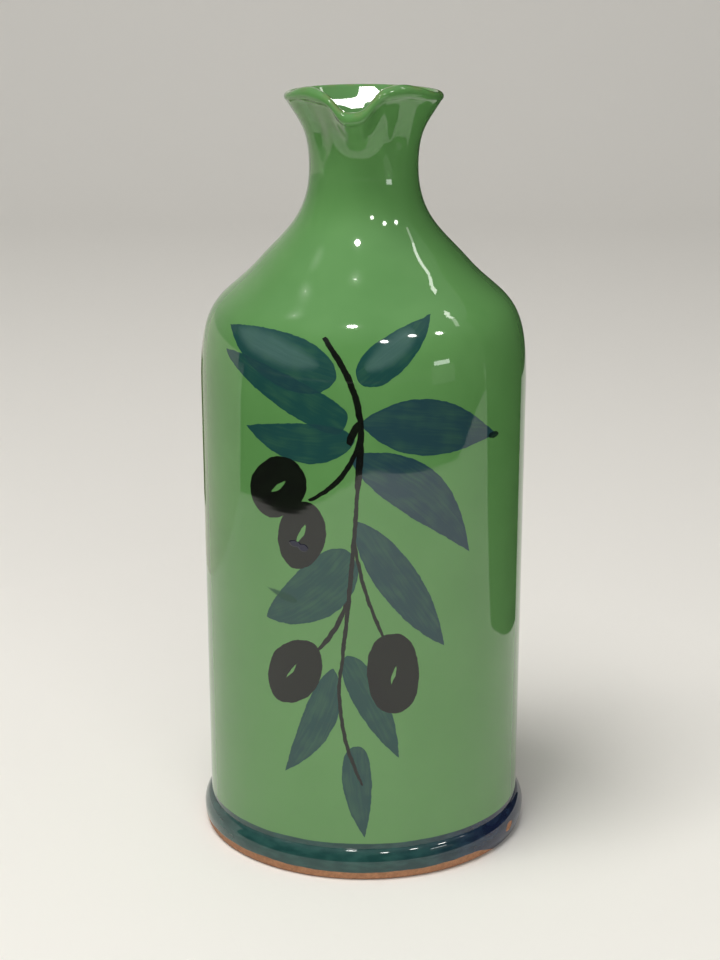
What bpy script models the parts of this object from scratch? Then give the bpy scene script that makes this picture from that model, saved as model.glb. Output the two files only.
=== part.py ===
"""Oil cruet of thrown and glazed earthenware, made as one closed piece of clay.

A tall cylinder stands on a rounded foot, draws in over a soft shoulder to a
narrow neck and flares out again to the mouth, whose rim is rolled into a bead.
The potter has pinched the front of the rim into a pouring lip: it dips at -Y, and
the rim rises on both sides of it.  The bottle is hollow and open at the mouth.
Nothing on it moves.

Frame: +Z up, the table at Z = 0, the turning axis on Z, the lip towards -Y.
"""

import math

import bmesh
import bpy
from mathutils import Vector
from mathutils.geometry import interpolate_bezier

MM = 0.001

# Driving dimensions of the turned form, in metres
RIM_HEIGHT = 199.0 * MM
LIP_RADIUS = 20.35 * MM
LIP_EDGE = 1.15 * MM
CREASE_RADIUS = 19.35 * MM
CREASE_HEIGHT = 196.1 * MM
NECK_RADIUS = 14.05 * MM
NECK_HEIGHT = 180.4 * MM
TURN_RADIUS = 27.4 * MM
TURN_HEIGHT = 155.8 * MM
SHOULDER_RADIUS = 42.8 * MM
SHOULDER_HEIGHT = 124.0 * MM
BODY_MIDDLE = 68.0 * MM
BODY_RADIUS = 42.3 * MM
FOOT_HEIGHT = 8.3 * MM
FOOT_RADIUS = 44.2 * MM
FOOT_WIDEST = 4.6 * MM
HEEL_RADIUS = 43.4 * MM
HEEL_HEIGHT = 0.5 * MM
BASE_RADIUS = 42.8 * MM

# Slopes of the section, and how far its curves keep them
FLARE_SLOPE = Vector((-0.52, 0.0, -0.85))
FLARE_REACH = 5.6 * MM
NECK_RISE = 9.0 * MM
NECK_DROP = 13.3 * MM
TURN_SLOPE = Vector((0.66, 0.0, -0.75))
TURN_RISE = 9.8 * MM
TURN_DROP = 14.4 * MM
SHOULDER_RISE = 24.0 * MM
FOOT_START = Vector((1.05, 0.0, -0.28)) * MM
FOOT_ROLL = 1.1 * MM
FOOT_TUCK = 2.0 * MM
HEEL_RISE = Vector((0.5, 0.0, 1.2)) * MM

# The rim's bead, from its inner side over the top to the crease outside
BEAD_START = math.radians(150.0)
BEAD_END = math.radians(-55.0)

# The clay's thickness
BODY_WALL = 4.0 * MM
NECK_WALL = 3.7 * MM
FLOOR = 5.0 * MM
FLOOR_FILLET = 8.0 * MM

# Bands of finish: bare clay under dark glaze under green glaze
BARE_CLAY_TOP = 2.0 * MM
DARK_BAND_TOP = 9.8 * MM

# The pouring lip: the front of the rim is drawn out and down between two fingers
SPOUT_START = 183.0 * MM
SPOUT_REACH = 3.0 * MM
SPOUT_DIP = 4.5 * MM
SPOUT_SPREAD = math.radians(13.2)
PULL_SPREAD = math.radians(27.0)
FINGER_PRESS = 0.9 * MM
FINGER_HEIGHT = 188.5 * MM
FINGER_TALL = 4.5 * MM
FINGER_ANGLE = math.radians(41.0)
FINGER_SPREAD = math.radians(11.0)

# The rim rises beside it, a little more on one side than on the other
CREST_DRAW = 1.1 * MM
LEFT_RISE = 1.7 * MM
LEFT_ANGLE = math.radians(40.0)
LEFT_SPREAD = math.radians(23.0)
RIGHT_RISE = 2.5 * MM
RIGHT_ANGLE = math.radians(35.5)
RIGHT_SPREAD = math.radians(31.0)
LIP_SWELL = 0.8 * MM
SWELL_START = 195.6 * MM

# How finely the form is cut into flat faces
SEGMENTS = 90
FLARE_POINTS = 8
SHOULDER_POINTS = 8
FOOT_POINTS = 5
BEAD_POINTS = 8
FILLET_STEPS = 4
SHARP_ANGLE = math.radians(50.0)


def point(radius, height):
    """A point of the profile, in the XZ plane."""
    return Vector((radius, 0.0, height))


def mouth_curve():
    """The outer side of the flare, from the crease under the bead down to the neck."""
    crease = point(CREASE_RADIUS, CREASE_HEIGHT)
    neck = point(NECK_RADIUS, NECK_HEIGHT)
    leave = crease + FLARE_SLOPE * FLARE_REACH
    return interpolate_bezier(crease, leave, neck + point(0.0, NECK_RISE), neck, FLARE_POINTS)


def shoulder_curve():
    """The outer side from the neck, through the turn of the curve, to the body."""
    neck = point(NECK_RADIUS, NECK_HEIGHT)
    turn = point(TURN_RADIUS, TURN_HEIGHT)
    body = point(SHOULDER_RADIUS, SHOULDER_HEIGHT)
    below = neck - point(0.0, NECK_DROP)
    hollow = interpolate_bezier(neck, below, turn - TURN_SLOPE * TURN_RISE, turn, SHOULDER_POINTS)
    above = body + point(0.0, SHOULDER_RISE)
    swell = interpolate_bezier(turn, turn + TURN_SLOPE * TURN_DROP, above, body, SHOULDER_POINTS + 1)
    return hollow + swell[1:]


def foot_curve():
    """The rounded foot, from the crease under the body down to the table."""
    crease = point(BODY_RADIUS, FOOT_HEIGHT)
    widest = point(FOOT_RADIUS, FOOT_WIDEST)
    heel = point(HEEL_RADIUS, HEEL_HEIGHT)
    above = widest + point(0.0, FOOT_ROLL)
    upper = interpolate_bezier(crease, crease + FOOT_START, above, widest, FOOT_POINTS)
    below = widest - point(0.0, FOOT_TUCK)
    lower = interpolate_bezier(widest, below, heel + HEEL_RISE, heel, FOOT_POINTS - 1)
    return upper + lower[1:] + [point(BASE_RADIUS, 0.0)]


def bead_arc():
    """The round bead of the rim, from its inner side over the top to its outer side."""
    centre = point(LIP_RADIUS - LIP_EDGE, RIM_HEIGHT - LIP_EDGE)
    step = (BEAD_END - BEAD_START) / (BEAD_POINTS - 1)
    angles = [BEAD_START + step * i for i in range(BEAD_POINTS)]
    return [centre + point(math.cos(a), math.sin(a)) * LIP_EDGE for a in angles]


def wall_thickness(height):
    """The clay thins from the body to the neck, and again towards the lip."""
    if height > NECK_HEIGHT:
        rise = (height - NECK_HEIGHT) / (RIM_HEIGHT - NECK_HEIGHT)
        return NECK_WALL + (2.0 * LIP_EDGE - NECK_WALL) * rise
    drop = min(1.0, (NECK_HEIGHT - height) / (NECK_HEIGHT - SHOULDER_HEIGHT))
    return NECK_WALL + (BODY_WALL - NECK_WALL) * drop


def inner_side(outer):
    """The inside of the wall: each outer point moved in along the profile's normal."""
    inside = []
    for before, here, after in zip(outer, outer[1:], outer[2:]):
        along = (after - before).normalized()
        inward = Vector((along.z, 0.0, -along.x))
        inside.append(here + inward * wall_thickness(here.z))
    return inside[::-1]


def floor_curve():
    """The inside of the floor, from the axis out and up into the wall."""
    wall = BODY_RADIUS - BODY_WALL
    corner = point(wall - FLOOR_FILLET, FLOOR + FLOOR_FILLET)
    quarter = math.radians(90.0)
    angles = [quarter * i / FILLET_STEPS - quarter for i in range(FILLET_STEPS + 1)]
    fillet = [corner + point(math.cos(a), math.sin(a)) * FLOOR_FILLET for a in angles]
    return [point(0.0, FLOOR)] + fillet


def bottle_profile():
    """The whole section: up the inside, over the lip, down the outside to the axis."""
    outer = mouth_curve() + shoulder_curve()[1:]
    every_second = inner_side(outer)[::2]
    body = [point((SHOULDER_RADIUS + BODY_RADIUS) / 2.0, BODY_MIDDLE), point(BODY_RADIUS, DARK_BAND_TOP)]
    return floor_curve() + every_second + bead_arc() + outer + body + foot_curve() + [point(0.0, 0.0)]


def turned(name, profile):
    """Spins a profile round Z with a Screw modifier and returns the finished mesh object."""
    mesh = bpy.data.meshes.new(name + "_profile")
    edges = [(i, i + 1) for i in range(len(profile) - 1)]
    mesh.from_pydata(profile, edges, [])
    guide = bpy.data.objects.new(name + "_profile", mesh)
    bpy.context.scene.collection.objects.link(guide)
    screw = guide.modifiers.new("Turn", "SCREW")
    screw.steps = SEGMENTS
    screw.render_steps = SEGMENTS
    screw.use_merge_vertices = True
    screw.merge_threshold = 0.01 * MM
    bpy.context.view_layer.update()
    evaluated = guide.evaluated_get(bpy.context.evaluated_depsgraph_get())
    body = bpy.data.objects.new(name, bpy.data.meshes.new_from_object(evaluated))
    body.data.name = name
    bpy.data.objects.remove(guide)
    return body


def eased(share):
    """A soft step from 0 to 1."""
    share = min(max(share, 0.0), 1.0)
    return share * share * (3.0 - 2.0 * share)


def bell(distance, spread):
    """1 at distance 0, falling off smoothly on both sides."""
    return math.exp(-((distance / spread) ** 2))


def round_notch(angle, spread):
    """Like the bell, but with a flatter top and steeper sides, as a thumb leaves it."""
    return math.exp(-(abs(angle / spread) ** 3))


def pinched(place, outward):
    """Where the potter's hand moves a point of the turned mouth, given its outward normal."""
    if place.z < SPOUT_START - FINGER_TALL:
        return place
    angle = math.atan2(place.x, -place.y)
    notch = round_notch(angle, SPOUT_SPREAD)
    drawn = bell(angle, PULL_SPREAD)
    left = bell(angle + LEFT_ANGLE, LEFT_SPREAD)
    right = bell(angle - RIGHT_ANGLE, RIGHT_SPREAD)
    fingers = bell(abs(angle) - FINGER_ANGLE, FINGER_SPREAD)
    lip_middle = RIM_HEIGHT - LIP_EDGE
    pull = eased((place.z - SPOUT_START) / (lip_middle - SPOUT_START))
    press = bell(place.z - FINGER_HEIGHT, FINGER_TALL)
    swell = eased((place.z - SWELL_START) / (lip_middle - SWELL_START))
    away = (SPOUT_REACH * drawn - CREST_DRAW * (left + right)) * pull - FINGER_PRESS * fingers * press
    rise = (LEFT_RISE * left + RIGHT_RISE * right - SPOUT_DIP * notch) * pull
    move = Vector((away * math.sin(angle), -away * math.cos(angle), rise))
    return place + move + outward * LIP_SWELL * max(notch, left, right) * swell


def glaze(name, colour, roughness):
    """A material with the finish's colour and gloss."""
    material = bpy.data.materials.new(name)
    material.use_nodes = True
    shader = material.node_tree.nodes["Principled BSDF"]
    shader.inputs["Base Color"].default_value = (*colour, 1.0)
    shader.inputs["Roughness"].default_value = roughness
    shader.inputs["Metallic"].default_value = 0.0
    material.diffuse_color = (*colour, 1.0)
    return material


def finish_bands(body):
    """Green glaze above, dark glaze on and just over the foot, and bare clay where it stands."""
    body.data.materials.clear()
    body.data.materials.append(glaze("green_glaze", (0.085, 0.262, 0.075), 0.08))
    body.data.materials.append(glaze("dark_glaze", (0.012, 0.055, 0.062), 0.10))
    body.data.materials.append(glaze("bare_clay", (0.45, 0.17, 0.065), 0.85))
    for face in body.data.polygons:
        radius = math.hypot(face.center.x, face.center.y)
        if face.center.z < BARE_CLAY_TOP:
            face.material_index = 2
        elif face.center.z < DARK_BAND_TOP and radius > BODY_RADIUS - BODY_WALL / 2.0:
            face.material_index = 1
        else:
            face.material_index = 0


def make_cruet():
    """Turns the bottle, pinches its lip and gives it its finishes."""
    body = turned("cruet", bottle_profile())
    moved = [pinched(vertex.co, vertex.normal) for vertex in body.data.vertices]
    for vertex, place in zip(body.data.vertices, moved):
        vertex.co = place
    shape = bmesh.new()
    shape.from_mesh(body.data)
    bmesh.ops.remove_doubles(shape, verts=shape.verts, dist=0.01 * MM)
    shape.to_mesh(body.data)
    shape.free()
    finish_bands(body)
    body.data.shade_smooth()
    body.data.set_sharp_from_angle(angle=SHARP_ANGLE)
    return body


def main():
    for old in list(bpy.data.objects):
        bpy.data.objects.remove(old)
    collection = bpy.data.collections.new("oil_cruet")
    bpy.context.scene.collection.children.link(collection)
    collection.objects.link(make_cruet())


main()
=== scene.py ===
# %% [markdown]
# # A hand-painted oil cruet
#
# The object is a thrown earthenware bottle for olive oil: a tall cylinder on a rounded foot, a soft
# shoulder, a narrow neck and a mouth that the potter pinched into a pouring lip. It is dipped in green
# glaze, its foot is banded in a darker one, and a brush has laid an olive branch across its front.
#
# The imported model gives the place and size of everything. We load it first and keep its box, because the
# piece that we model has to stay inside it.

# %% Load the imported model
import math

import bpy
from mathutils import Matrix, Vector
from mathutils.geometry import interpolate_bezier


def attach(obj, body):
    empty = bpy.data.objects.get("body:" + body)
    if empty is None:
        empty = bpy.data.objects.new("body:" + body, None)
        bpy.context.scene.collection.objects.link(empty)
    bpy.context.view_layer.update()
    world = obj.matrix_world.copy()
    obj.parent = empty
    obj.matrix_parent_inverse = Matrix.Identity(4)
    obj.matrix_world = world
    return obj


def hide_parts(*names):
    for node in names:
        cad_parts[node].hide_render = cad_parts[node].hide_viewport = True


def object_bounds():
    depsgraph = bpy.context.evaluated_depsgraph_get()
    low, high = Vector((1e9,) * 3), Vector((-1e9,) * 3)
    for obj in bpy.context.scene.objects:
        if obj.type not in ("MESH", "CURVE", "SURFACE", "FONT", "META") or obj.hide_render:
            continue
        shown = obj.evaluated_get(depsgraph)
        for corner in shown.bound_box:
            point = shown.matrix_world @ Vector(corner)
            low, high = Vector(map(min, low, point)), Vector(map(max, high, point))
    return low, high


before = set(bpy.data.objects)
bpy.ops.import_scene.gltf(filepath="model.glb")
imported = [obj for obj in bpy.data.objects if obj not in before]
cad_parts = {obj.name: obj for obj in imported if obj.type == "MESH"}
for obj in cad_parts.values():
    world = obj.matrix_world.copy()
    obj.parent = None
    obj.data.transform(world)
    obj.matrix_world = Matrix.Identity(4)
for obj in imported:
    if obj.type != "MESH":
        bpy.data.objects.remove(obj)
cad_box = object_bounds()
MM = 0.001
print("the bottle's box in mm:", [[round(value / MM, 1) for value in corner] for corner in cad_box])

# %% [markdown]
# ## The camera
#
# The photograph looks down on the bottle from a little over half a metre away, with the pouring lip
# turned slightly to the left. A long lens keeps the bottle's sides nearly straight. The camera's place is
# worked out from its distance, its height over the table and its turn round the bottle.

# %% Camera
CAMERA_DISTANCE = 540.0 * MM
CAMERA_HEIGHT = 254.0 * MM
CAMERA_TURN = math.radians(6.6)
CAMERA_TILT = math.radians(16.3)
FOCAL_PIXELS = 2100.0
PICTURE_HEIGHT = 960.0
AXIS_OFFSET = 3.7

bpy.ops.object.select_all(action="DESELECT")
bpy.ops.object.camera_add(
    location=(
        CAMERA_DISTANCE * math.sin(CAMERA_TURN),
        -CAMERA_DISTANCE * math.cos(CAMERA_TURN),
        CAMERA_HEIGHT,
    ),
    rotation=(math.pi / 2 - CAMERA_TILT, 0.0, CAMERA_TURN),
)
camera = bpy.context.object
camera.name = "camera"
camera.data.sensor_width = 36.0
camera.data.lens = FOCAL_PIXELS / PICTURE_HEIGHT * camera.data.sensor_width
camera.data.shift_x = -AXIS_OFFSET / PICTURE_HEIGHT
bpy.context.scene.camera = camera
print("lens:", round(camera.data.lens, 2), "mm")

# %% [markdown]
# ## The potter's outline
#
# A thrown pot is a turned shape, so half of its section is all that has to be drawn. The line starts on
# the axis on top of the floor, climbs the inside of the wall, rolls over the lip, comes down the outside
# and runs under the foot back to the axis. Each stretch is a Bézier curve or an arc between a few sizes
# that a potter would measure with callipers.

# %% Sizes of the turned form, in millimetres
RIM_HEIGHT = 199.0
LIP_RADIUS = 20.35
LIP_EDGE = 1.15
CREASE_RADIUS = 19.35
CREASE_HEIGHT = 196.1
NECK_RADIUS = 14.05
NECK_HEIGHT = 180.4
TURN_RADIUS = 27.4
TURN_HEIGHT = 155.8
SHOULDER_RADIUS = 42.8
SHOULDER_HEIGHT = 124.0
BODY_RADIUS = 42.3
BAND_TOP = 9.8
FOOT_HEIGHT = 8.3
FOOT_RADIUS = cad_box[1][0] / MM
FOOT_WIDEST = 4.6
HEEL_RADIUS = 43.4
HEEL_HEIGHT = 0.5
BASE_RADIUS = 42.8
BODY_WALL = 4.0
NECK_WALL = 3.7
FLOOR = 5.0
FLOOR_FILLET = 8.0
print("rim at", RIM_HEIGHT, "mm, body", 2.0 * BODY_RADIUS, "mm across")

# %% [markdown]
# A Bézier curve leaves its first point along one handle and arrives at its last along the other, and the
# longer a handle is, the longer the curve keeps that direction. The slopes and the lengths of the handles
# are the form's second set of sizes.

# %% Slopes and handles of the curves
FLARE_SLOPE = Vector((0.0, -0.52, -0.85))
FLARE_REACH = 5.6
NECK_RISE = 9.0
NECK_DROP = 13.3
TURN_SLOPE = Vector((0.0, 0.66, -0.75))
TURN_RISE = 9.8
TURN_DROP = 14.4
SHOULDER_RISE = 24.0
FOOT_START = Vector((0.0, 1.05, -0.28))
FOOT_ROLL = 1.1
FOOT_TUCK = 2.0
HEEL_RISE = Vector((0.0, 0.5, 1.2))
print("slope of the flare under the rim:", round(FLARE_SLOPE.y / FLARE_SLOPE.z, 2))

# %% [markdown]
# The outside runs down in four stretches: the flare of the mouth, the hollow and swell of the shoulder, the
# long side, and the foot. Each function gives the points of its stretch from top to bottom.

# %% The outside, stretch by stretch
MOUTH_POINTS = 22
HOLLOW_POINTS = 20
SWELL_POINTS = 24
BODY_RINGS = 26
ROLL_POINTS = 14
TUCK_POINTS = 10


def point(radius, height):
    """A point of the section, drawn on the back of the bottle so that the seam of the turning is there."""
    return Vector((0.0, radius, height))


def mouth_curve():
    """The outside of the flare, from the crease under the rim's bead down to the neck."""
    crease = point(CREASE_RADIUS, CREASE_HEIGHT)
    neck = point(NECK_RADIUS, NECK_HEIGHT)
    leave = crease + FLARE_SLOPE * FLARE_REACH
    return interpolate_bezier(crease, leave, neck + point(0.0, NECK_RISE), neck, MOUTH_POINTS)


def shoulder_curve():
    """The outside from the neck through the shoulder to the body."""
    neck = point(NECK_RADIUS, NECK_HEIGHT)
    turn = point(TURN_RADIUS, TURN_HEIGHT)
    body = point(SHOULDER_RADIUS, SHOULDER_HEIGHT)
    down = neck - point(0.0, NECK_DROP)
    hollow = interpolate_bezier(neck, down, turn - TURN_SLOPE * TURN_RISE, turn, HOLLOW_POINTS)
    above = body + point(0.0, SHOULDER_RISE)
    swell = interpolate_bezier(turn, turn + TURN_SLOPE * TURN_DROP, above, body, SWELL_POINTS)
    return hollow + swell[1:]


def body_curve():
    """The long side of the cylinder, which narrows by under half a millimetre."""
    top = point(SHOULDER_RADIUS, SHOULDER_HEIGHT)
    crease = point(BODY_RADIUS, FOOT_HEIGHT)
    return [top.lerp(crease, i / BODY_RINGS) for i in range(1, BODY_RINGS)]


def foot_curve():
    """The rounded foot, from the crease under the body down to the table."""
    crease = point(BODY_RADIUS, FOOT_HEIGHT)
    widest = point(FOOT_RADIUS, FOOT_WIDEST)
    heel = point(HEEL_RADIUS, HEEL_HEIGHT)
    over = widest + point(0.0, FOOT_ROLL)
    under = widest - point(0.0, FOOT_TUCK)
    upper = interpolate_bezier(crease, crease + FOOT_START, over, widest, ROLL_POINTS)
    lower = interpolate_bezier(widest, under, heel + HEEL_RISE, heel, TUCK_POINTS)
    return upper + lower[1:] + [point(BASE_RADIUS, 0.0)]


print("points round the foot:", len(foot_curve()))

# %% [markdown]
# The lip is a round bead. The inside keeps the wall's thickness from the outside, and a fillet rounds it
# into the floor.

# %% The lip, the inside and the floor
LIP_STEPS = 16
LIP_FROM = 150.0
LIP_SWEEP = 205.0
FILLET_STEPS = 8
FLOOR_RING = 15.0


def lip_arc():
    """The round bead of the rim, from its inner side over the top to the crease outside."""
    centre = point(LIP_RADIUS - LIP_EDGE, RIM_HEIGHT - LIP_EDGE)
    angles = [math.radians(LIP_FROM - LIP_SWEEP * i / LIP_STEPS) for i in range(LIP_STEPS + 1)]
    return [centre + point(math.cos(a), math.sin(a)) * LIP_EDGE for a in angles]


def wall_thickness(height):
    """The clay thins from the body to the neck, and again towards the lip."""
    if height > NECK_HEIGHT:
        rise = (height - NECK_HEIGHT) / (RIM_HEIGHT - NECK_HEIGHT)
        return NECK_WALL + (2.0 * LIP_EDGE - NECK_WALL) * rise
    drop = min(1.0, (NECK_HEIGHT - height) / (NECK_HEIGHT - SHOULDER_HEIGHT))
    return NECK_WALL + (BODY_WALL - NECK_WALL) * drop


def inner_curve(outer):
    """The inside of the wall: points of the outside moved in along the section's normal."""
    inside = []
    for before, here, after in zip(outer, outer[1:], outer[2:]):
        along = (after - before).normalized()
        inside.append(here + Vector((0.0, along.z, -along.y)) * wall_thickness(here.z))
    return inside[::-1]


def floor_curve():
    """The inside of the floor, from the axis out and up into the wall."""
    corner = point(BODY_RADIUS - BODY_WALL - FLOOR_FILLET, FLOOR + FLOOR_FILLET)
    angles = [math.radians(-90.0 + 90.0 * i / FILLET_STEPS) for i in range(FILLET_STEPS + 1)]
    fillet = [corner + point(math.cos(a), math.sin(a)) * FLOOR_FILLET for a in angles]
    return [point(0.0, FLOOR), point(FLOOR_RING, FLOOR)] + fillet


outside = mouth_curve() + shoulder_curve()[1:]
inside = inner_curve(outside)[::2]
outline = floor_curve() + inside + lip_arc() + outside + body_curve() + foot_curve()
outline += [point(FLOOR_RING, 0.0), point(0.0, 0.0)]
print("points in the outline:", len(outline))

# %% [markdown]
# ## Drawing the outline and turning it
#
# A turned shape could come from a Screw modifier, a lathe curve or the spin tool. We draw the line as one
# would by hand: a plane is added and merged to a single vertex, that vertex is extruded from point to
# point, and the spin tool carries the finished line once round the axis. Before the spin, each vertex
# notes how far along the line it lies. The spin copies that number, and the glazes can read it later.

# %% Draw the outline
bpy.ops.object.select_all(action="DESELECT")
bpy.ops.mesh.primitive_plane_add(size=1.0 * MM, location=outline[0] * MM)
cruet = bpy.context.object
cruet.name = "glazed_bottle"
bpy.ops.object.transform_apply(location=True, rotation=True, scale=True)
bpy.ops.object.mode_set(mode="EDIT")
bpy.ops.mesh.select_all(action="SELECT")
bpy.ops.mesh.merge(type="CENTER")
for here, following in zip(outline, outline[1:]):
    bpy.ops.mesh.extrude_region_move(TRANSFORM_OT_translate={"value": (following - here) * MM})
bpy.ops.object.mode_set(mode="OBJECT")
print("vertices on the line:", len(cruet.data.vertices))

# %% Note each vertex's run along the line
run = cruet.data.attributes.new("run", "FLOAT", "POINT")
travelled = 0.0
runs = {0: 0.0}
for index, (here, following) in enumerate(zip(outline, outline[1:]), start=1):
    travelled += (following - here).length
    runs[index] = travelled
for index, value in runs.items():
    run.data[index].value = value
whole_run = travelled
lip_start = len(floor_curve()) + len(inside)
lip_run = runs[lip_start + len(lip_arc()) // 3]
print("length of the line:", round(whole_run, 1), "mm; the lip's top lies at", round(lip_run, 1), "mm")

# %% Spin it round the axis
TURNS = 192
NEAR = 0.01 * MM
bpy.ops.object.mode_set(mode="EDIT")
bpy.ops.mesh.select_all(action="SELECT")
bpy.ops.mesh.spin(steps=TURNS, angle=math.tau, center=(0.0, 0.0, 0.0), axis=(0.0, 0.0, 1.0))
bpy.ops.mesh.select_all(action="SELECT")
bpy.ops.mesh.remove_doubles(threshold=NEAR)
bpy.ops.mesh.normals_make_consistent(inside=False)
bpy.ops.object.mode_set(mode="OBJECT")
print("faces after the spin:", len(cruet.data.polygons))

# %% [markdown]
# ## Pinching the mouth
#
# While the clay is soft, two fingers hold the rim and a third draws its front out and down. The rim rises
# on both sides of the lip, a little more on the right, and the fingers leave a hollow on each side under
# it. Proportional editing spreads a pull in a circle round the hand, but here the pull has to run along
# the rim, through both faces of the wall alike. So each vertex is moved by a formula of its height and of
# its angle from the front, which is also how the solid model was pinched.

# %% The hand's moves, in millimetres and degrees
SPOUT_START = 183.0
SPOUT_REACH = 3.0
SPOUT_DIP = 4.5
SPOUT_SPREAD = 13.2
PULL_SPREAD = 27.0
FINGER_PRESS = 0.9
FINGER_HEIGHT = 188.5
FINGER_TALL = 4.5
FINGER_ANGLE = 41.0
FINGER_SPREAD = 11.0
CREST_DRAW = 1.1
LEFT_RISE = 1.7
LEFT_ANGLE = 40.0
LEFT_SPREAD = 23.0
RIGHT_RISE = 2.5
RIGHT_ANGLE = 35.5
RIGHT_SPREAD = 31.0
LIP_SWELL = 0.8
SWELL_START = 195.6


def eased(share):
    """A soft step from 0 to 1."""
    share = min(max(share, 0.0), 1.0)
    return share * share * (3.0 - 2.0 * share)


def bell(distance, spread):
    """1 at distance 0, falling off smoothly on both sides."""
    return math.exp(-((distance / spread) ** 2))


def pinched(place, outward):
    """Where the hand moves a point of the turned mouth, given its outward normal."""
    height = place.z / MM
    if height < SPOUT_START - FINGER_TALL:
        return place
    around = math.atan2(place.x, -place.y)
    angle = math.degrees(around)
    spout = math.exp(-abs(angle / SPOUT_SPREAD) ** 3)
    drawn = bell(angle, PULL_SPREAD)
    left = bell(angle + LEFT_ANGLE, LEFT_SPREAD)
    right = bell(angle - RIGHT_ANGLE, RIGHT_SPREAD)
    fingers = bell(abs(angle) - FINGER_ANGLE, FINGER_SPREAD)
    lip_middle = RIM_HEIGHT - LIP_EDGE
    pull = eased((height - SPOUT_START) / (lip_middle - SPOUT_START))
    press = bell(height - FINGER_HEIGHT, FINGER_TALL)
    swell = eased((height - SWELL_START) / (lip_middle - SWELL_START))
    away = (SPOUT_REACH * drawn - CREST_DRAW * (left + right)) * pull - FINGER_PRESS * fingers * press
    rise = (LEFT_RISE * left + RIGHT_RISE * right - SPOUT_DIP * spout) * pull
    move = Vector((away * math.sin(around), -away * math.cos(around), rise))
    return place + (move + outward * LIP_SWELL * max(spout, left, right) * swell) * MM


moved = [pinched(vertex.co, vertex.normal) for vertex in cruet.data.vertices]
for vertex, place in zip(cruet.data.vertices, moved):
    vertex.co = place
cruet.data.update()
print("highest crest:", round(max(place.z for place in moved) / MM, 1), "mm")

# %% Shade it smooth, with the foot's edge kept crisp
CRISP_FROM = math.radians(50.0)
bpy.ops.object.select_all(action="DESELECT")
cruet.select_set(True)
bpy.context.view_layer.objects.active = cruet
bpy.ops.object.shade_smooth_by_angle(angle=CRISP_FROM)
print("smooth faces:", sum(face.use_smooth for face in cruet.data.polygons))

# %% [markdown]
# ## A skin for the glazes
#
# The glazes' colours can be laid onto an unrolled skin. An automatic unrolling would cut the branch up. A
# turned form unrolls by itself: left to right is the angle round the axis, and bottom to top is the run
# along the outline.

# %% Unroll the skin
SKIN_SHARE = 0.98
SKIN_MARGIN = 0.01
skin = cruet.data.uv_layers.new(name="OFBake")
cruet.data.uv_layers.active = skin
runs_now = cruet.data.attributes["run"].data
for face in cruet.data.polygons:
    middle = math.atan2(face.center.x, -face.center.y)
    for corner in face.loop_indices:
        vertex = cruet.data.loops[corner].vertex_index
        place = cruet.data.vertices[vertex].co
        angle = math.atan2(place.x, -place.y)
        if math.hypot(place.x, place.y) < NEAR:
            angle = middle
        angle += math.tau * round((middle - angle) / math.tau)
        across_skin = 0.5 + SKIN_SHARE * angle / math.tau
        up_skin = SKIN_MARGIN + SKIN_SHARE * runs_now[vertex].value / whole_run
        skin.data[corner].uv = (across_skin, up_skin)
print("skin corners:", len(skin.data))

# %% [markdown]
# ## Writing shader maths as sums
#
# The branch is a drawing made of formulas, and formulas read best as sums. This small class wraps an output
# socket, so that Python's own signs add the Math nodes. Any other node comes from `node`, which takes the
# node's type, its settings and what goes into its sockets. The Mix node keeps its colours in the sockets 6
# and 7 and its output 2.


# %% A socket that can be added and multiplied
class Wire:
    """An output socket of a node tree, which can stand in a Python expression."""

    def __init__(self, tree, socket):
        self.tree = tree
        self.socket = socket

    def node(self, kind, settings=None, inputs=None, output=0):
        """Adds a node, with its settings first and then the values or wires of its sockets."""
        added = self.tree.nodes.new(kind)
        for name, value in (settings or {}).items():
            setattr(added, name, value)
        for name, value in (inputs or {}).items():
            if isinstance(value, Wire):
                self.tree.links.new(value.socket, added.inputs[name])
            else:
                added.inputs[name].default_value = value
        return Wire(self.tree, added.outputs[output])

    def math(self, operation, *values):
        """A Math node on this wire and up to two more values or wires."""
        return self.node("ShaderNodeMath", {"operation": operation}, dict(enumerate((self, *values))))

    def __add__(self, other):
        return self.math("ADD", other)

    def __sub__(self, other):
        return self.math("SUBTRACT", other)

    def __rsub__(self, other):
        return self.node("ShaderNodeMath", {"operation": "SUBTRACT"}, {0: other, 1: self})

    def __mul__(self, other):
        return self.math("MULTIPLY", other)

    def __truediv__(self, other):
        return self.math("DIVIDE", other)

    def __pow__(self, other):
        return self.math("POWER", other)

    def __abs__(self):
        return self.math("ABSOLUTE")

    __radd__ = __add__
    __rmul__ = __mul__

    def clamp(self):
        """The value held between 0 and 1."""
        return self.node("ShaderNodeClamp", {}, {0: self})

    def step(self, low, high):
        """A soft step from 0 at low to 1 at high."""
        settings = {"interpolation_type": "SMOOTHSTEP"}
        return self.node("ShaderNodeMapRange", settings, {0: self, 1: low, 2: high})

    def over(self, below, above):
        """The colour below where this wire is 0 and the colour above where it is 1."""
        settings = {"data_type": "RGBA"}
        return self.node("ShaderNodeMix", settings, {0: self, 6: below, 7: above}, output=2)


# %% [markdown]
# ## Where the brush is
#
# Every finish reads the same three numbers: how far round the bottle a point lies, how high it is, and how
# far along the outline. The first two are in millimetres, as if the side were unrolled flat. A little noise
# moves the brush by a fraction of a millimetre, because no painted edge is a perfect curve.

# %% The coordinates of the drawing
glazes = bpy.data.materials.new("painted_glazes")
glazes.use_nodes = True
tree = glazes.node_tree
tree.nodes.clear()
out = tree.nodes.new("ShaderNodeOutputMaterial")
shader = tree.nodes.new("ShaderNodeBsdfPrincipled")
tree.links.new(shader.outputs[0], out.inputs["Surface"])

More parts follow.
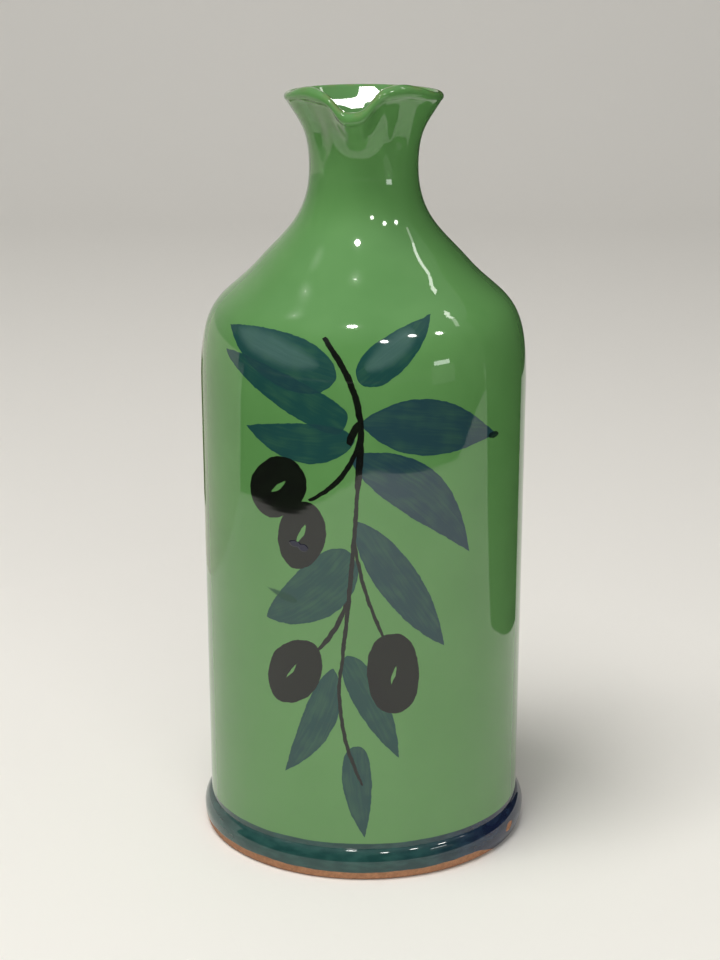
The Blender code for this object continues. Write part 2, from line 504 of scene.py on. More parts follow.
coordinates = Wire(tree, tree.nodes.new("ShaderNodeTexCoord").outputs["Object"])
apart = tree.nodes.new("ShaderNodeSeparateXYZ")
tree.links.new(coordinates.socket, apart.inputs[0])
x, y, z = (Wire(tree, socket) for socket in apart.outputs)
along_outline = coordinates.node("ShaderNodeAttribute", {"attribute_name": "run"}, output=2)
angle = x.node("ShaderNodeMath", {"operation": "ARCTAN2"}, {0: x, 1: 0.0 - y})
around = angle * SHOULDER_RADIUS
height = z / MM


def noise(where, scale, detail=2.0, roughness=0.5):
    """Grey noise, as many ripples to a unit of where as scale says."""
    inputs = {"Vector": where, "Scale": scale, "Detail": detail, "Roughness": roughness}
    return where.node("ShaderNodeTexNoise", {}, inputs)


def flat_place(across, up, depth=0.0):
    """A place made of two or three numbers, for noise that follows the drawing."""
    return across.node("ShaderNodeCombineXYZ", {}, {0: across, 1: up, 2: depth})


SHIVER = 0.7
SHIVER_RIPPLES = 420.0
ELSEWHERE = 0.37
brush_u = around + (noise(coordinates, SHIVER_RIPPLES) - 0.5) * SHIVER
brush_z = height + (noise(flat_place(x + ELSEWHERE, y, z), SHIVER_RIPPLES) - 0.5) * SHIVER
print("nodes for the brush's place:", len(tree.nodes))

# %% [markdown]
# ## The brush strokes
#
# An olive leaf is one press of a round brush: it lands softly, swells, and lifts off in a point. A stroke
# is a line from its root to its tip with a bend, and its half-width grows and shrinks along that line by a
# simple power curve. Measuring in the stroke's own frame, along and across, gives both the mask and the
# direction in which the bristles leave their streaks.


# %% One stroke of the brush
EDGE_START = 0.02
LEAF_EDGE = 0.22


def stroke(root, tip, bend, half_width, root_power, tip_power, soft=LEAF_EDGE):
    """The mask of a bent stroke, with the places along and across it in millimetres."""
    start = Vector(root)
    chord = Vector(tip) - start
    length = chord.length
    way = chord / length
    from_root_u = brush_u - start.x
    from_root_z = brush_z - start.y
    share = ((from_root_u * way.x + from_root_z * way.y) / length).clamp()
    across = from_root_z * way.x - from_root_u * way.y
    if bend:
        across = across - share * (1.0 - share) * (4.0 * bend)
    widest = root_power / (root_power + tip_power)
    peak = widest**root_power * (1.0 - widest) ** tip_power
    half = share**root_power * (1.0 - share) ** tip_power * (half_width / peak)
    inside = half - abs(across)
    mask = inside.step(EDGE_START, soft)
    return {"mask": mask, "along": share * length, "across": across, "share": share, "inside": inside}


def leaf(root, tip, half_width, bend=0.0, tone=0.5, root_power=0.55, tip_power=0.8):
    """An olive leaf, with its tone from 0, green, to 1, violet."""
    made = stroke(root, tip, bend, half_width, root_power, tip_power)
    made["tone"] = tone
    return made


# %% [markdown]
# The branch has eleven leaves. Their roots and tips are given in millimetres on the unrolled side: left to
# right from the middle of the front, and up from the table.

# %% The leaves
leaves = [
    leaf((-2.0, 134.0), (-38.4, 143.4), 6.6, bend=0.2, tone=0.35, root_power=0.5, tip_power=1.05),
    leaf((0.5, 122.5), (-37.0, 137.4), 4.6, bend=-0.9, tone=0.3, root_power=0.25, tip_power=0.7),
    leaf((2.8, 118.6), (-27.6, 119.6), 5.2, bend=1.9, tone=0.35, root_power=0.6, tip_power=0.95),
    leaf((3.6, 133.6), (25.8, 148.2), 4.8, bend=0.3, tone=0.3, root_power=0.45, tip_power=1.1),
    leaf((3.9, 123.0), (44.0, 116.0), 7.3, bend=1.2, tone=0.65, root_power=0.9, tip_power=1.3),
    leaf((2.0, 114.6), (34.2, 86.6), 6.6, bend=3.8, tone=0.75, root_power=0.7, tip_power=1.05),
    leaf((3.0, 97.8), (26.6, 62.8), 5.4, bend=-0.1, tone=0.55, root_power=0.7, tip_power=0.9),
    leaf((2.0, 89.0), (-21.6, 69.8), 7.2, bend=2.2, tone=0.3, root_power=0.45, tip_power=0.75),
    leaf((-2.8, 58.4), (-16.8, 28.0), 4.5, bend=2.3, tone=0.35, root_power=0.7, tip_power=1.0),
    leaf((0.6, 62.0), (14.2, 33.6), 4.3, bend=0.2, tone=0.3, root_power=0.5, tip_power=0.9),
    leaf((2.9, 37.4), (5.2, 11.4), 4.0, bend=-0.6, tone=0.35, root_power=0.45, tip_power=0.9),
]
print("leaves:", len(leaves), "nodes:", len(tree.nodes))


# %% [markdown]
# ## The twigs and the olives
#
# The twigs are narrow strokes with blunt ends. The olives are near-black ovals, and each leaves a slit of
# green unpainted, which reads as a glint of light.


# %% Twigs
BLUNT = 0.12
TWIG_EDGE = 0.2


def twig(root, tip, half_width, bend=0.0):
    """A narrow stroke of even width."""
    return stroke(root, tip, bend, half_width, BLUNT, BLUNT, soft=TWIG_EDGE)["mask"]


twigs = [
    twig((-5.8, 143.6), (4.3, 118.0), 0.95, bend=3.0),
    twig((4.3, 122.0), (3.4, 106.0), 1.0, bend=0.1),
    twig((3.8, 112.0), (-1.1, 56.0), 0.68, bend=0.4),
    twig((-1.1, 58.5), (4.6, 26.4), 0.62, bend=-2.2),
    twig((4.0, 119.5), (-9.0, 102.6), 0.75, bend=2.6),
    twig((3.9, 123.2), (1.3, 117.4), 1.1, bend=-0.3),
    twig((0.2, 75.2), (-6.8, 63.2), 0.75, bend=0.8),
    twig((2.4, 95.0), (10.2, 66.6), 0.6, bend=-1.3),
    twig((0.0, 75.0), (1.4, 77.0), 0.7),
]


def together(masks):
    """The highest of several masks at each place."""
    found = masks[0]
    for mask in masks[1:]:
        found = found.math("MAXIMUM", mask)
    return found


print("twigs:", len(twigs))


# %% Olives
OVAL_EDGE = 0.16
SLIT_HALF = 2.9
SLIT_PLUMP = 1.5


def oval(centre, half_across, half_up, lean=0.0, plump=2.0):
    """An oval that leans by an angle in degrees: 1 inside and 0 outside."""
    turn = math.radians(lean)
    from_u = brush_u - centre[0]
    from_z = brush_z - centre[1]
    across = abs(from_u * math.cos(turn) + from_z * math.sin(turn)) / half_across
    up = abs(from_z * math.cos(turn) - from_u * math.sin(turn)) / half_up
    edge = OVAL_EDGE / min(half_across, half_up)
    return (1.0 - (across**plump + up**plump) ** (1.0 / plump)).step(0.0, edge)


def olive(centre, half_across, half_up, lean, plump, slit, slit_lean, slit_wide):
    """A painted olive with its bare slit."""
    body = oval(centre, half_across, half_up, lean, plump)
    glint = oval(slit, slit_wide, SLIT_HALF, slit_lean, SLIT_PLUMP)
    return body * (1.0 - glint)


olives = [
    olive((-18.0, 105.0), 7.2, 9.1, -50.0, 2.2, slit=(-17.4, 105.2), slit_lean=-52.0, slit_wide=0.75),
    olive((-11.2, 93.2), 6.5, 9.3, -15.0, 1.9, slit=(-11.1, 93.7), slit_lean=-28.0, slit_wide=0.8),
    olive((-13.6, 56.4), 7.2, 10.2, -34.0, 1.8, slit=(-14.3, 56.4), slit_lean=-37.0, slit_wide=0.45),
    olive((12.6, 57.0), 6.8, 11.0, 4.0, 2.3, slit=(12.6, 56.6), slit_lean=-14.0, slit_wide=0.5),
]
ink = together(twigs + olives)
print("olives:", len(olives), "nodes:", len(tree.nodes))

# %% [markdown]
# ## The green glaze and its paint
#
# The glaze is a clear, even green with very slight clouds in it, thinner and warmer where it runs off the
# lip's edge. Low down it is mixed paler and greyer, painted light that stands in for the brighter light on
# the lower half. The leaf colour is a thin blue-green stain: the bristles leave it streaky, it gathers
# towards the tip and at the edges, and it is darker where two leaves cross. The middles of the two highest
# leaves are painted paler, a painted reflection.


# %% Green ground
def colour(red, green, blue):
    """An opaque colour for a socket."""
    return (red, green, blue, 1.0)


DEEP_GREEN = colour(0.088, 0.235, 0.066)
CLEAR_GREEN = colour(0.108, 0.268, 0.082)
# Painted light: a paler, greyer green for the brighter light low down.
LOWER_LIGHT_GREEN = colour(0.125, 0.272, 0.098)
THIN_GLAZE = colour(0.17, 0.19, 0.06)
clouds = noise(coordinates, 38.0, detail=3.0)
ground = clouds.step(0.3, 0.7).over(DEEP_GREEN, CLEAR_GREEN)
# Painted light: the glaze turns paler and greyer towards the bottom, standing in for the brighter light on
# the lower half.
painted_lower_light = 1.0 - height.step(60.0, 125.0)
ground = (painted_lower_light * 0.55).over(ground, LOWER_LIGHT_GREEN)
lip_glaze = 1.0 - abs(along_outline - lip_run).step(0.4, 1.7)
thin = lip_glaze * noise(coordinates, 260.0).step(0.4, 0.65)
ground = (thin * 0.45).over(ground, THIN_GLAZE)
print("nodes with the ground:", len(tree.nodes))

# %% Leaf stain
TEAL_STAIN = colour(0.005, 0.061, 0.042)
VIOLET_STAIN = colour(0.022, 0.048, 0.074)
CROSSED_STAIN = colour(0.006, 0.040, 0.042)
LEAF_APART = 17.0
zero = brush_u * 0.0
covered, along, across, tones, pooled = zero, zero, zero, zero, zero
for number, made in enumerate(leaves):
    mask = made["mask"]
    covered = covered + mask
    along = along + mask * (made["along"] + LEAF_APART * number)
    across = across + mask * made["across"]
    tones = tones + mask * made["tone"]
    edge = 1.0 - made["inside"].step(0.1, 0.9)
    pooled = pooled + mask * (edge * 0.35 + made["share"].step(0.78, 1.0) * 0.5)
streaks = noise(flat_place(along * 0.07, across * 1.5), 1.0, detail=4.0, roughness=0.6)
wash = noise(flat_place(along * 0.16, across * 0.2, 3.0), 1.0, detail=1.0)
strength = 0.96 + (streaks - 0.5) * 0.34 + (wash - 0.5) * 0.35 + pooled * 0.2
stain = tones.clamp().over(TEAL_STAIN, VIOLET_STAIN)
leaf_share = (covered.clamp() * strength).clamp()
painted = leaf_share.over(ground, stain)
twice = (covered - 1.0).clamp()
painted = (twice * 0.45).over(painted, CROSSED_STAIN)
print("nodes with the leaves:", len(tree.nodes))

# %% Painted reflection in the two highest leaves
# Painted reflection: a paler colour laid into the middles of the two highest leaves, in place of the bright
# reflection there.
LEAF_REFLECTION_SHADE = colour(0.070, 0.145, 0.130)
reflection_left = stroke((-6.0, 136.8), (-34.0, 143.0), 0.0, 4.4, 0.45, 0.45, soft=3.0)["mask"]
reflection_right = stroke((5.2, 136.2), (19.0, 145.0), 0.0, 3.8, 0.4, 0.4, soft=2.6)["mask"]
painted_reflection = together([reflection_left, reflection_right]) * covered.clamp() * (0.3 + streaks * 0.7)
painted = painted_reflection.over(painted, LEAF_REFLECTION_SHADE)
print("nodes with the thin stain:", len(tree.nodes))

# %% [markdown]
# The ink goes on last and is nearly opaque. The brush also left a few stray marks, which show that the
# painting was done by hand: two blue blots on an olive, a dark drop at a leaf's tip and a green rub beside
# another leaf.

# %% Black ink over the leaves, with its blots
INK = colour(0.0035, 0.0042, 0.0035)
BLUE_BLOT = colour(0.004, 0.005, 0.030)
DARK_DROP = colour(0.004, 0.012, 0.012)
GREEN_RUB = colour(0.004, 0.050, 0.030)
ink_grain = noise(flat_place(brush_u * 0.3, brush_z * 0.3, 5.0), 1.0, detail=3.0)
ink_share = ink * (0.985 + ink_grain.step(0.3, 0.8) * 0.015)
painted = ink_share.over(painted, INK)
blot = together([oval((-12.9, 90.9), 1.6, 0.9, -10.0), oval((-10.6, 90.0), 1.5, 1.0, -20.0)])
painted = (blot * 0.9).over(painted, BLUE_BLOT)
drop = oval((42.4, 116.1), 2.4, 0.9, -4.0)
painted = (drop * 0.9).over(painted, DARK_DROP)
rub = stroke((-22.0, 78.0), (-12.4, 75.5), 0.0, 1.3, 0.8, 0.35, soft=0.7)["mask"]
painted = (rub * 0.85).over(painted, GREEN_RUB)
print("nodes with the branch:", len(tree.nodes))

# %% [markdown]
# ## The foot
#
# The rounded foot is banded in a glaze that turns from blue-green to navy as it goes round. It stops short
# of the table, so that the pot wouldn't stick to the kiln shelf, and the bare red clay shows under it, with
# one small chip to the right. Both lines waver a little, because they are brushed on a turning wheel, and
# near the chip the glaze runs all the way down.

# %% Foot band
BAND_EDGE = 0.15
DEEP_TEAL = colour(0.010, 0.050, 0.046)
LIGHT_TEAL = colour(0.022, 0.078, 0.070)
DEEP_NAVY = colour(0.008, 0.012, 0.040)
LIGHT_NAVY = colour(0.020, 0.036, 0.075)
outer_side = along_outline.step(lip_run, lip_run + 1.0)
waver = noise(flat_place(around * 0.11, height * 0.02), 1.0, detail=3.0) - 0.5
band = (1.0 - (height + waver * 0.5).step(BAND_TOP - BAND_EDGE, BAND_TOP + BAND_EDGE)) * outer_side
turning = (around + waver * 22.0).step(8.0, 46.0)
band_cloud = noise(flat_place(around * 0.2, height * 0.5, 9.0), 1.0, detail=3.0).step(0.35, 0.7)
teal = band_cloud.over(DEEP_TEAL, LIGHT_TEAL)
navy = band_cloud.over(DEEP_NAVY, LIGHT_NAVY)
painted = band.over(painted, turning.over(teal, navy))
print("nodes with the band:", len(tree.nodes))

# %% Bare clay
CLAY_TOP = 2.4
CLAY_EDGE = 0.12
DARK_CLAY = colour(0.30, 0.135, 0.062)
LIGHT_CLAY = colour(0.48, 0.235, 0.120)
chip = oval((52.0, 4.2), 2.3, 1.2, 20.0, plump=1.6)
dipped_deep = around.step(36.0, 48.0) * (1.0 - around.step(70.0, 95.0))
glaze_line = CLAY_TOP + abs(around - 5.0).step(8.0, 30.0) * 0.4 - dipped_deep * 2.8 + waver * 0.9
under_line = (1.0 - (height - glaze_line).step(-CLAY_EDGE, CLAY_EDGE)) * outer_side
bare = together([under_line, chip])
clay_grain = noise(coordinates, 900.0, detail=4.0, roughness=0.7)
clay = clay_grain.step(0.3, 0.75).over(DARK_CLAY, LIGHT_CLAY)
surface = bare.over(painted, clay)
print("nodes with the foot:", len(tree.nodes))

# %% [markdown]
# ## Gloss
#
# The glaze is a sheet of glass over the clay, so it mirrors its surroundings sharply. Its surface isn't
# perfectly even: the turning left shallow rings, and the glaze itself lies in soft waves that bend the
# reflections. The bare clay is dull and gritty.

# %% Roughness and relief
GLAZE_ROUGHNESS = 0.035
CLAY_ROUGHNESS = 0.8
GLAZE_IOR = 1.6
CLAY_DEPTH = 0.12
roughness = bare * CLAY_ROUGHNESS + GLAZE_ROUGHNESS
waves = noise(flat_place(x, y, z * 0.55), 34.0, detail=1.5)
rings = noise(flat_place(along_outline * 0.0, along_outline * 0.35), 1.0, detail=1.0)
relief = waves * 0.05 + rings * 0.006 + blot * 0.1 + bare * (clay_grain - 1.0) * CLAY_DEPTH
bump = relief.node("ShaderNodeBump", {}, {"Strength": 1.0, "Distance": MM, "Height": relief})
shader.inputs["IOR"].default_value = GLAZE_IOR
tree.links.new(surface.socket, shader.inputs["Base Color"])
tree.links.new(roughness.socket, shader.inputs["Roughness"])
tree.links.new(bump.socket, shader.inputs["Normal"])
cruet.data.materials.clear()
cruet.data.materials.append(glazes)
print("nodes in the glazes:", len(tree.nodes))

# %% [markdown]
# ## The table and what the glaze mirrors
#
# Glossy pots are lit by what they mirror. A plain pale table gives the soft grey sheen on the lower half of
# the bottle. Its back sweeps up into a wall, so that no line crosses behind the bottle. Places are given as
# the camera sees them, to its right, away from it, and up.


# %% Places on the stage
def seen(right, away, up):
    """A place in metres, to the right, away from the camera and up, from the foot of the bottle's axis."""
    across = Vector((math.cos(CAMERA_TURN), math.sin(CAMERA_TURN), 0.0))
    ahead = Vector((-math.sin(CAMERA_TURN), math.cos(CAMERA_TURN), 0.0))
    return across * right + ahead * away + Vector((0.0, 0.0, up))


away = seen(0.0, 1.0, 0.0)
print("away from the camera is", [round(part, 2) for part in away])

# %% Table with a swept backdrop
TABLE_SIZE = 8.0
BACK_EDGE = 1.0
SWEEP_RADIUS = 0.45
SWEEP_STEPS = 16
WALL_HEIGHT = 2.0
TABLE_SHADE = (0.86, 0.845, 0.81)
TABLE_ROUGHNESS = 0.7
TABLE_SHINE = 0.2


def matt(name, shade):
    """A plain matt material."""
    material = bpy.data.materials.new(name)
    material.use_nodes = True
    principled = material.node_tree.nodes["Principled BSDF"]
    principled.inputs["Base Color"].default_value = colour(*shade)
    principled.inputs["Roughness"].default_value = TABLE_ROUGHNESS
    principled.inputs["Specular IOR Level"].default_value = TABLE_SHINE
    return material


bpy.ops.object.select_all(action="DESELECT")
bpy.ops.mesh.primitive_plane_add(
    size=TABLE_SIZE,
    location=seen(0.0, BACK_EDGE - TABLE_SIZE / 2.0, 0.0),
    rotation=(0.0, 0.0, CAMERA_TURN),
)
table = bpy.context.object
table.name = "table"
bpy.ops.object.transform_apply(location=True, rotation=True, scale=True)
bpy.ops.object.mode_set(mode="EDIT")
bpy.ops.mesh.select_all(action="DESELECT")
bpy.ops.object.mode_set(mode="OBJECT")
for edge in table.data.edges:
    ends = [table.data.vertices[i].co.dot(away) for i in edge.vertices]
    edge.select = min(ends) > BACK_EDGE - MM
bpy.ops.object.mode_set(mode="EDIT")
bpy.ops.mesh.select_mode(type="EDGE")
for i in range(SWEEP_STEPS):
    low = math.radians(90.0 * i / SWEEP_STEPS)
    high = math.radians(90.0 * (i + 1) / SWEEP_STEPS)
    step = away * (math.sin(high) - math.sin(low)) * SWEEP_RADIUS
    step.z = (math.cos(low) - math.cos(high)) * SWEEP_RADIUS
    bpy.ops.mesh.extrude_region_move(TRANSFORM_OT_translate={"value": step})
bpy.ops.mesh.extrude_region_move(TRANSFORM_OT_translate={"value": (0.0, 0.0, WALL_HEIGHT)})
bpy.ops.object.mode_set(mode="OBJECT")
bpy.ops.object.shade_smooth_by_angle(angle=math.radians(40.0))
table.data.materials.append(matt("pale_table", TABLE_SHADE))
print("table faces:", len(table.data.polygons))

# %% [markdown]
# A dark ring lies flat round the front, seen only by reflections, so that the upper half of the bottle
# mirrors dark and keeps its full green. Its inner edge is a circle that is drawn in or out by a formula,
# and the edge's mirror image is the border between the bottle's clear and veiled halves.


# %% Pieces that only reflections see
def only_mirrored(piece):
    """Leaves a stage piece to reflections: the camera, soft light and shadows pass through it."""
    piece.visible_camera = False
    piece.visible_diffuse = False
    piece.visible_shadow = False


def glowing(name, shade, strength):
    """A material that shines evenly."""
    material = bpy.data.materials.new(name)
    material.use_nodes = True
    principled = material.node_tree.nodes["Principled BSDF"]
    principled.inputs["Base Color"].default_value = colour(0.0, 0.0, 0.0)
    principled.inputs["Specular IOR Level"].default_value = 0.0
    principled.inputs["Emission Color"].default_value = colour(*shade)
    principled.inputs["Emission Strength"].default_value = strength
    return material


# %% Dark ring round the front
RING_INNER = 0.390
RING_LEFT = 0.020
RING_LEFT_AT = -52.0
RING_LEFT_SPREAD = 20.0
RING_FRONT = 0.021
RING_FRONT_SPREAD = 18.0
RING_RIGHT = 0.25
RING_RIGHT_FROM = 45.0
RING_RIGHT_TO = 105.0
RING_SHIFT = 0.03
RING_REACH = 9.0
RING_BACK = 0.02
RING_SHADE = (0.030, 0.029, 0.025)
ring_middle = seen(RING_SHIFT, 0.0, 0.5 * MM)
bpy.ops.object.select_all(action="DESELECT")
bpy.ops.mesh.primitive_circle_add(vertices=96, radius=RING_INNER, location=ring_middle)
ring = bpy.context.object
ring.name = "dark_ring"
bpy.ops.object.transform_apply(location=True, rotation=True, scale=True)
for vertex in ring.data.vertices:
    spoke = vertex.co - ring_middle
    bearing = math.degrees(math.atan2(spoke.dot(seen(1.0, 0.0, 0.0)), -spoke.dot(seen(0.0, 1.0, 0.0))))
    widening = max(0.0, min(bearing, RING_RIGHT_TO) - RING_RIGHT_FROM) / RING_RIGHT_FROM
    reach = RING_INNER - RING_LEFT * bell(bearing - RING_LEFT_AT, RING_LEFT_SPREAD)
    reach += RING_FRONT * bell(bearing, RING_FRONT_SPREAD) + RING_RIGHT * widening**4
    vertex.co = ring_middle + spoke * (reach / RING_INNER)
bpy.ops.object.mode_set(mode="EDIT")
bpy.ops.mesh.select_all(action="SELECT")
bpy.ops.mesh.extrude_edges_move()
bpy.ops.transform.resize(value=(RING_REACH, RING_REACH, 1.0), center_override=ring_middle)
bpy.ops.mesh.select_all(action="SELECT")
bpy.ops.mesh.bisect(plane_co=seen(0.0, RING_BACK, 0.0), plane_no=away, clear_outer=True)
bpy.ops.object.mode_set(mode="OBJECT")
ring.data.materials.append(glowing("dark_ring", RING_SHADE, 1.0))
only_mirrored(ring)
print("ring faces:", len(ring.data.polygons))

# %% [markdown]
# Upright cards draw the rest: pale ones behind on the left lighten that edge, dark ones on the right draw
# the deep green line down that side, and a small bright one and a dim one put soft glints on the shoulder.


# %% Cards
PALE_CARD = (0.70, 0.64, 0.59)
OLIVE_CARD = (0.10, 0.11, 0.05)
DARK_CARD = (0.014, 0.018, 0.014)
BRIGHT_CARD = (6.0, 6.2, 6.0)
DIM_CARD = (0.35, 0.36, 0.32)


def standing_card(name, start, end, raised, tall, shade):
    """An upright card over the line from start to end, raised over the table, to be mirrored only."""
    from_here = seen(*start, 0.0)
    to_there = seen(*end, 0.0)
    middle = (from_here + to_there) / 2.0 + Vector((0.0, 0.0, raised + tall / 2.0))
    along = to_there - from_here
    bpy.ops.object.select_all(action="DESELECT")
    bpy.ops.mesh.primitive_plane_add(
        size=1.0, location=middle, rotation=(math.pi / 2, 0.0, math.atan2(along.y, along.x))
    )
    added = bpy.context.object
    added.name = name
    added.scale = (along.length, tall, 1.0)
    added.data.materials.append(glowing(name, shade, 1.0))
    only_mirrored(added)


standing_card("pale_wall", (-0.366, 0.016), (-0.133, 0.185), raised=0.0, tall=0.155, shade=PALE_CARD)
standing_card("pale_wall_behind", (-0.133, 0.185), (0.060, 0.330), raised=0.0, tall=0.10, shade=PALE_CARD)
standing_card("olive_card", (-0.113, 0.188), (-0.050, 0.235), raised=0.027, tall=0.060, shade=OLIVE_CARD)
standing_card("dark_side", (0.129, 0.128), (0.200, 0.020), raised=0.0, tall=0.30, shade=DARK_CARD)
standing_card("dark_side_front", (0.200, 0.020), (0.800, 0.024), raised=0.0, tall=0.30, shade=DARK_CARD)
standing_card("dark_behind", (0.129, 0.128), (0.020, 0.330), raised=0.09, tall=0.30, shade=DARK_CARD)
standing_card("small_window", (0.272, -0.252), (0.328, -0.197), raised=0.166, tall=0.022, shade=BRIGHT_CARD)
standing_card("low_box", (0.262, -0.262), (0.345, -0.180), raised=0.100, tall=0.062, shade=DIM_CARD)
print("pieces with the cards:", len(bpy.data.meshes))

# %% [markdown]
# ## Light
#
# Soft light comes from two large lamps over the table and from the pale room. The glaze doesn't mirror
# them, so the shoulder stays clear.


# %% Soft lamps
WARM_WHITE = (1.0, 0.98, 0.95)
AIMED_AT = Vector((0.0, 0.0, 0.1))


def soft_lamp(name, place, size, power):
    """A large soft lamp, aimed at the bottle, that the glaze doesn't mirror."""
    bpy.ops.object.light_add(type="AREA", location=place)
    lamp = bpy.context.object
    lamp.name = name
    lamp.data.size = size
    lamp.data.energy = power
    lamp.data.color = WARM_WHITE
    lamp.visible_glossy = False
    way = AIMED_AT - lamp.location
    lamp.rotation_euler = way.to_track_quat("-Z", "Y").to_euler()


soft_lamp("soft_key", (-0.30, -0.40, 1.36), size=0.7, power=15.5)
soft_lamp("soft_fill", (0.30, -0.90, 0.40), size=0.6, power=2.8)
print("soft lamps:", len(bpy.data.lights))

# %% [markdown]
# Small ceiling lamps add the sharp points of light that tell the eye that the surface is glass. Each is a
# disc that only reflections see, bright in its middle with a soft halo, and it hangs in the direction in
# which the glaze mirrors it.

# %% The make-up of a mirrored lamp
LAMP_COLOUR = (1.0, 0.98, 0.94)
LAMP_FAR = 1.6
LAMP_ORIGIN = Vector((0.0, 0.0, 0.15))


def haloed(name, core_share, strength, glow):
    """A see-through material for a unit disc, with a bright core and a soft halo."""
    material = bpy.data.materials.new(name)
    material.use_nodes = True
    nodes = material.node_tree
    nodes.nodes.clear()
    where = Wire(nodes, nodes.nodes.new("ShaderNodeTexCoord").outputs["Object"])
    from_middle = where.node("ShaderNodeVectorMath", {"operation": "LENGTH"}, {0: where}, output=1)
    core = from_middle.step(core_share, core_share * 0.75) * strength
    power = core + (1.0 - from_middle).clamp() ** 2.5 * glow
    shine = power.node("ShaderNodeEmission", {}, {"Color": colour(*LAMP_COLOUR), "Strength": power})
    clear = power.node("ShaderNodeBsdfTransparent")
    both = power.node("ShaderNodeAddShader", {}, {0: shine, 1: clear})
    last = nodes.nodes.new("ShaderNodeOutputMaterial")
    nodes.links.new(both.socket, last.inputs["Surface"])
    return material


def direction(bearing, rise):
    """A unit vector from its bearing, from the front towards +X, and its rise, both in degrees."""
    side = math.radians(bearing)
    up = math.radians(rise)
    return Vector((math.sin(side) * math.cos(up), -math.cos(side) * math.cos(up), math.sin(up)))


# %% Mirrored lamps
def mirrored_lamp(name, bearing, rise, core, halo, strength, glow):
    """A disc with a bright core and a soft halo, whose widths are given in degrees."""
    way = direction(bearing, rise)
    reach = math.tan(math.radians(halo / 2.0)) * LAMP_FAR
    bpy.ops.object.select_all(action="DESELECT")
    bpy.ops.mesh.primitive_circle_add(
        vertices=64,
        radius=1.0,
        fill_type="NGON",
        location=way * LAMP_FAR + LAMP_ORIGIN,
        rotation=way.to_track_quat("Z", "Y").to_euler(),
    )
    disc = bpy.context.object
    disc.name = name
    disc.scale = (reach, reach, 1.0)
    disc.data.materials.append(haloed(name, core / halo, strength, glow))
    only_mirrored(disc)


three = {"left": (23.6, 40.5), "middle": (50.8, 45.8), "right": (74.5, 40.5)}
for place, (bearing, rise) in three.items():
    mirrored_lamp("lamp_%s_of_three" % place, bearing, rise, core=6.0, halo=15.0, strength=30.0, glow=2.0)
mirrored_lamp("lamp_above", -10.5, 69.4, core=6.0, halo=17.0, strength=60.0, glow=4.0)
mirrored_lamp("lamp_far_left", -92.5, 58.7, core=1.0, halo=16.0, strength=3.0, glow=2.2)
print("mirrored lamps:", len(three) + 2)


# %% A bent strip of light
def mirrored_strip(name, start, end, thick, strength):
    """A thin straight lamp between two directions, with its thickness in degrees."""
    from_here = direction(*start) * LAMP_FAR
    to_there = direction(*end) * LAMP_FAR
    middle = (from_here + to_there) / 2.0
    along = to_there - from_here
    facing = -middle.normalized()
    upright = facing.cross(along.normalized())
    turn = Matrix((along.normalized(), upright, facing)).transposed()
    bpy.ops.object.select_all(action="DESELECT")
    bpy.ops.mesh.primitive_plane_add(size=1.0, location=middle + LAMP_ORIGIN, rotation=turn.to_euler())
    strip = bpy.context.object
    strip.name = name
    strip.scale = (along.length, math.tan(math.radians(thick)) * LAMP_FAR, 1.0)
    strip.data.materials.append(glowing(name, LAMP_COLOUR, strength))
    only_mirrored(strip)


bend = [(97.0, 40.0), (109.0, 48.0), (112.0, 52.0), (118.0, 52.0)]
powers = [3.0, 8.0, 8.0]
for number, power in enumerate(powers):
    mirrored_strip("strip_%d" % (number + 1), bend[number], bend[number + 1], thick=2.8, strength=power)
print("stretches of the strip:", len(powers))

# %% [markdown]
# One more card hangs just over the mouth. The hollow inside of the flare gathers its light like a spoon,
# which fills the gap over the pouring lip with white.

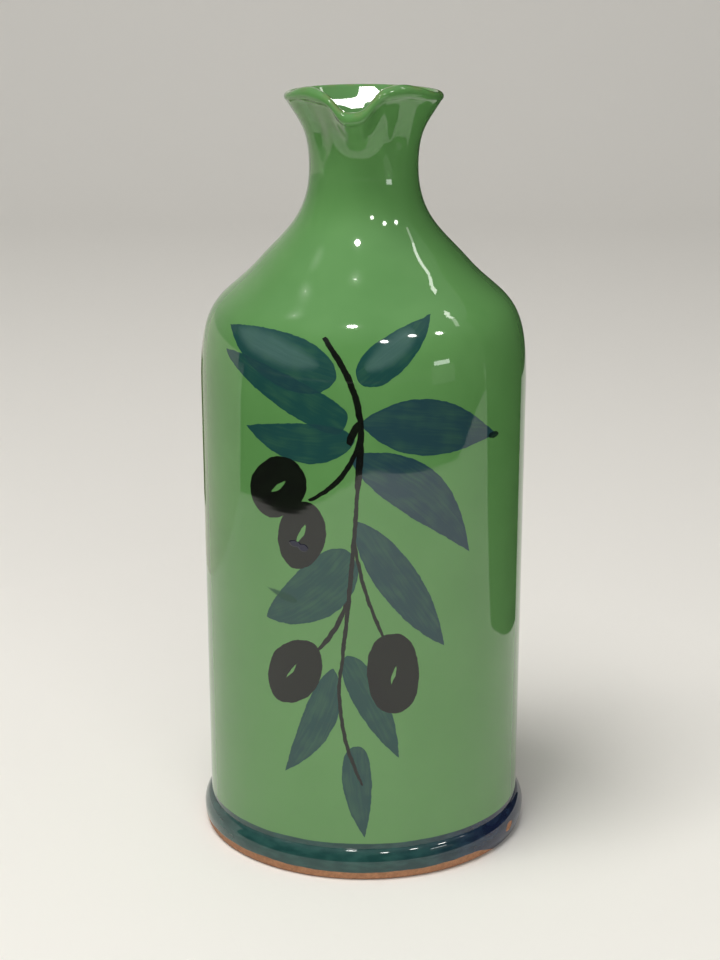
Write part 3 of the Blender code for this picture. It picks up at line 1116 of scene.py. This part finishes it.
# %% Card over the mouth
MOUTH_CARD_PLACE = Vector((-0.65, 11.4, 206.0)) * MM
MOUTH_CARD_TURN = math.radians(10.5)
MOUTH_CARD_SIZE = (1.7, 8.4, 1.0)
MOUTH_CARD_LIGHT = (1.0, 0.98, 0.96)
bpy.ops.object.select_all(action="DESELECT")
bpy.ops.mesh.primitive_plane_add(size=MM, location=MOUTH_CARD_PLACE, rotation=(0.0, 0.0, MOUTH_CARD_TURN))
mouth_card = bpy.context.object
mouth_card.name = "mouth_card"
mouth_card.scale = MOUTH_CARD_SIZE
mouth_card.data.materials.append(glowing("mouth_card", MOUTH_CARD_LIGHT, 40.0))
only_mirrored(mouth_card)
print("card over the mouth, in mm:", MOUTH_CARD_SIZE[:2])

# %% [markdown]
# The room is a different one to each kind of ray: the glaze mirrors a dark room that pales overhead, soft
# light comes from an even grey, and the camera would see a paler grey.

# %% The room
MIRRORED_LOW = colour(0.05, 0.05, 0.045)
MIRRORED_HIGH = colour(0.38, 0.40, 0.40)
SOFT_ROOM = colour(0.24, 0.24, 0.235)
SEEN_ROOM = colour(0.62, 0.61, 0.58)
world = bpy.data.worlds.new("room")
bpy.context.scene.world = world
world.use_nodes = True
room = world.node_tree
room.nodes.clear()
room_out = room.nodes.new("ShaderNodeOutputWorld")
path = room.nodes.new("ShaderNodeLightPath")
sky = Wire(room, room.nodes.new("ShaderNodeTexCoord").outputs["Generated"])
sky_parts = room.nodes.new("ShaderNodeSeparateXYZ")
room.links.new(sky.socket, sky_parts.inputs[0])
upward = Wire(room, sky_parts.outputs[2]).step(0.35, 1.0)
mirrored_room = upward.over(MIRRORED_LOW, MIRRORED_HIGH)
is_glossy = Wire(room, path.outputs["Is Glossy Ray"])
lit = is_glossy.over(SOFT_ROOM, mirrored_room)
is_seen = Wire(room, path.outputs["Is Camera Ray"])
shade = is_seen.over(lit, SEEN_ROOM)
background = shade.node("ShaderNodeBackground", {}, {"Color": shade})
room.links.new(background.socket, room_out.inputs["Surface"])
bpy.context.scene.view_settings.view_transform = "Standard"
print("nodes in the room:", len(room.nodes))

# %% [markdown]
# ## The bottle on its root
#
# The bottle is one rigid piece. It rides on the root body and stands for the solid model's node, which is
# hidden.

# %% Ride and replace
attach(cruet, "root")
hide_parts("cruet")
